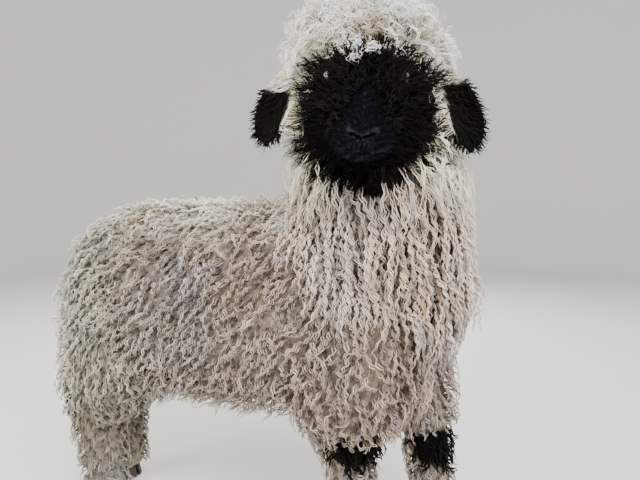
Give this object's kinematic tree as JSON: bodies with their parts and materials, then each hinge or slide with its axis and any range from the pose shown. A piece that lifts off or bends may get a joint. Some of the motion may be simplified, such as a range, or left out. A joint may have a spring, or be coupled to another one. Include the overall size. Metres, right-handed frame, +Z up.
{
  "type": "standing sheep",
  "caption": "Life-size standing sheep in full curly fleece with a black face, ears and knees, its head turned to one side.",
  "frame": {"origin": "on the floor under the middle of the animal's box", "axes": "+Z up, -Y from the tail towards the breast, +X towards the animal's left side"},
  "size_m": [0.485, 1.0208, 1.1118],
  "materials": {
    "fleece": "matt curly wool",
    "ruff": "long wavy wool with a slight sheen",
    "black_wool": "matt black wool and short hair",
    "leg_wool": "matt wool",
    "hoof": "dull dark horn",
    "eye": "wet gloss"
  },
  "bodies": {
    "root": {"torso": "fleece", "neck": "ruff", "head": "black_wool", "ear_left": "black_wool", "ear_right": "black_wool", "eye_left": "eye", "eye_right": "eye", "tail": "fleece", "foreleg_left": "leg_wool", "foreleg_right": "leg_wool", "hindleg_left": "leg_wool", "hindleg_right": "leg_wool", "foreleg_left_claw_left": "hoof", "foreleg_left_claw_right": "hoof", "foreleg_right_claw_left": "hoof", "foreleg_right_claw_right": "hoof", "hindleg_left_claw_left": "hoof", "hindleg_left_claw_right": "hoof", "hindleg_right_claw_left": "hoof", "hindleg_right_claw_right": "hoof"}
  },
  "joints": []
}
